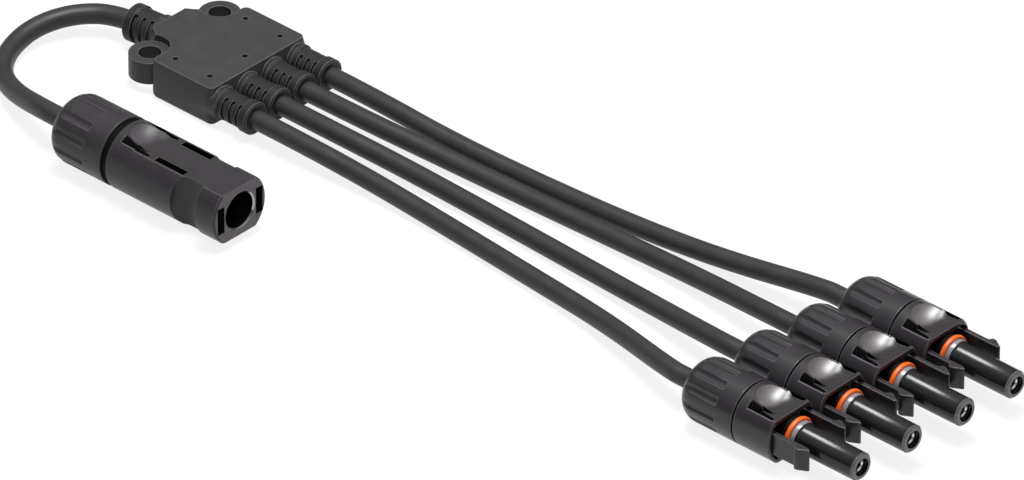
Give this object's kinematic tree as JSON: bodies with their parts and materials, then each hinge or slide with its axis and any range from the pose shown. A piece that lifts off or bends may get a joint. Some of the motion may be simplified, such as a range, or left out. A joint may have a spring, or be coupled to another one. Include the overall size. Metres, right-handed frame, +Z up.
{
  "type": "solar splitter cable",
  "caption": "Branch cable for solar panels: a flat screw-down junction block joins a looped input lead with a socket connector to a row of leads with latching plug connectors.",
  "frame": {"origin": "bottom centre of the splitter block with its ears and boots", "axes": "+X from the block along the output cables, +Z up from the surface that the block lies on, +Y across the row"},
  "size_m": [0.3198, 0.0984, 0.0204],
  "materials": {
    "block_plastic": "fine grained",
    "connector_plastic": "satin",
    "arm_plastic": "satin",
    "cable_sheath": "smooth satin",
    "black_seal": "matte",
    "orange_seal": "smooth",
    "gland_rubber": "matte",
    "cage_plastic": "satin",
    "tinned_copper": "bright tin",
    "copper": "plain"
  },
  "bodies": {
    "splitter": {"splitter_body": "block_plastic", "junction_splice": "copper", "input_cable": "cable_sheath", "output_cable_1": "cable_sheath", "output_1_housing": "connector_plastic", "output_1_gland": "gland_rubber", "output_1_seal": "orange_seal", "output_1_contact": "tinned_copper", "output_cable_2": "cable_sheath", "output_2_housing": "connector_plastic", "output_2_gland": "gland_rubber", "output_2_seal": "orange_seal", "output_2_contact": "tinned_copper", "output_cable_3": "cable_sheath", "output_3_housing": "connector_plastic", "output_3_gland": "gland_rubber", "output_3_seal": "orange_seal", "output_3_contact": "tinned_copper", "output_cable_4": "cable_sheath", "output_4_housing": "connector_plastic", "output_4_gland": "gland_rubber", "output_4_seal": "orange_seal", "output_4_contact": "tinned_copper", "input_housing": "connector_plastic", "input_gland": "gland_rubber", "input_seal": "black_seal", "input_contact": "tinned_copper"},
    "output_1_cage": {"output_1_cage": "cage_plastic"},
    "output_1_nut": {"output_1_nut": "connector_plastic"},
    "output_1_arm_right": {"output_1_arm_right": "arm_plastic"},
    "output_1_arm_left": {"output_1_arm_left": "arm_plastic"},
    "output_2_cage": {"output_2_cage": "cage_plastic"},
    "output_2_nut": {"output_2_nut": "connector_plastic"},
    "output_2_arm_right": {"output_2_arm_right": "arm_plastic"},
    "output_2_arm_left": {"output_2_arm_left": "arm_plastic"},
    "output_3_cage": {"output_3_cage": "cage_plastic"},
    "output_3_nut": {"output_3_nut": "connector_plastic"},
    "output_3_arm_right": {"output_3_arm_right": "arm_plastic"},
    "output_3_arm_left": {"output_3_arm_left": "arm_plastic"},
    "output_4_cage": {"output_4_cage": "cage_plastic"},
    "output_4_nut": {"output_4_nut": "connector_plastic"},
    "output_4_arm_right": {"output_4_arm_right": "arm_plastic"},
    "output_4_arm_left": {"output_4_arm_left": "arm_plastic"},
    "input_cage": {"input_cage": "cage_plastic"},
    "input_nut": {"input_nut": "connector_plastic"}
  },
  "joints": [
    {"name": "output_1_nut_travel", "type": "slide", "parent": "splitter", "child": "output_1_cage", "axis": [-1, 0, 0], "range_m": [0, 0.006]},
    {"name": "output_1_nut_turn", "type": "hinge", "parent": "output_1_cage", "child": "output_1_nut", "pos_m": [0.2162, -0.0317, 0.00935], "axis": [-1, 0, 0], "range_deg": [0, 1440]},
    {"name": "output_1_arm_right_flex", "type": "hinge", "parent": "splitter", "child": "output_1_arm_right", "pos_m": [0.2355, -0.03885, 0.00935], "axis": [0, 0, 1], "range_deg": [0, 6], "stiffness_Nm_per_rad": 0.1, "springref_deg": -1.15},
    {"name": "output_1_arm_left_flex", "type": "hinge", "parent": "splitter", "child": "output_1_arm_left", "pos_m": [0.2355, -0.02455, 0.00935], "axis": [0, 0, -1], "range_deg": [0, 6], "stiffness_Nm_per_rad": 0.1, "springref_deg": -1.15},
    {"name": "output_2_nut_travel", "type": "slide", "parent": "splitter", "child": "output_2_cage", "axis": [-1, 0, 0], "range_m": [0, 0.006]},
    {"name": "output_2_nut_turn", "type": "hinge", "parent": "output_2_cage", "child": "output_2_nut", "pos_m": [0.2175, -0.01295, 0.00935], "axis": [-1, 0, 0], "range_deg": [0, 1440]},
    {"name": "output_2_arm_right_flex", "type": "hinge", "parent": "splitter", "child": "output_2_arm_right", "pos_m": [0.2368, -0.0201, 0.00935], "axis": [0, 0, 1], "range_deg": [0, 6], "stiffness_Nm_per_rad": 0.1, "springref_deg": -1.15},
    {"name": "output_2_arm_left_flex", "type": "hinge", "parent": "splitter", "child": "output_2_arm_left", "pos_m": [0.2368, -0.0058, 0.00935], "axis": [0, 0, -1], "range_deg": [0, 6], "stiffness_Nm_per_rad": 0.1, "springref_deg": -1.15},
    {"name": "output_3_nut_travel", "type": "slide", "parent": "splitter", "child": "output_3_cage", "axis": [-1, 0, 0], "range_m": [0, 0.006]},
    {"name": "output_3_nut_turn", "type": "hinge", "parent": "output_3_cage", "child": "output_3_nut", "pos_m": [0.2194, 0.0058, 0.00935], "axis": [-1, 0, 0], "range_deg": [0, 1440]},
    {"name": "output_3_arm_right_flex", "type": "hinge", "parent": "splitter", "child": "output_3_arm_right", "pos_m": [0.2387, -0.00135, 0.00935], "axis": [0, 0, 1], "range_deg": [0, 6], "stiffness_Nm_per_rad": 0.1, "springref_deg": -1.15},
    {"name": "output_3_arm_left_flex", "type": "hinge", "parent": "splitter", "child": "output_3_arm_left", "pos_m": [0.2387, 0.01295, 0.00935], "axis": [0, 0, -1], "range_deg": [0, 6], "stiffness_Nm_per_rad": 0.1, "springref_deg": -1.15},
    {"name": "output_4_nut_travel", "type": "slide", "parent": "splitter", "child": "output_4_cage", "axis": [-1, 0, 0], "range_m": [0, 0.006]},
    {"name": "output_4_nut_turn", "type": "hinge", "parent": "output_4_cage", "child": "output_4_nut", "pos_m": [0.2206, 0.02455, 0.00935], "axis": [-1, 0, 0], "range_deg": [0, 1440]},
    {"name": "output_4_arm_right_flex", "type": "hinge", "parent": "splitter", "child": "output_4_arm_right", "pos_m": [0.2399, 0.0174, 0.00935], "axis": [0, 0, 1], "range_deg": [0, 6], "stiffness_Nm_per_rad": 0.1, "springref_deg": -1.15},
    {"name": "output_4_arm_left_flex", "type": "hinge", "parent": "splitter", "child": "output_4_arm_left", "pos_m": [0.2399, 0.0317, 0.00935], "axis": [0, 0, -1], "range_deg": [0, 6], "stiffness_Nm_per_rad": 0.1, "springref_deg": -1.15},
    {"name": "input_nut_travel", "type": "slide", "parent": "splitter", "child": "input_cage", "axis": [-1, 0, 0], "range_m": [0, 0.006]},
    {"name": "input_nut_turn", "type": "hinge", "parent": "input_cage", "child": "input_nut", "pos_m": [0.00825, -0.0545, 0.0103], "axis": [-1, 0, 0], "range_deg": [0, 1440]}
  ],
  "couplings": [
    {"joint": "output_1_nut_travel", "follows": "output_1_nut_turn", "m_per_rad": 0.00023868},
    {"joint": "output_2_nut_travel", "follows": "output_2_nut_turn", "m_per_rad": 0.00023868},
    {"joint": "output_3_nut_travel", "follows": "output_3_nut_turn", "m_per_rad": 0.00023868},
    {"joint": "output_4_nut_travel", "follows": "output_4_nut_turn", "m_per_rad": 0.00023868},
    {"joint": "input_nut_travel", "follows": "input_nut_turn", "m_per_rad": 0.00023868}
  ]
}
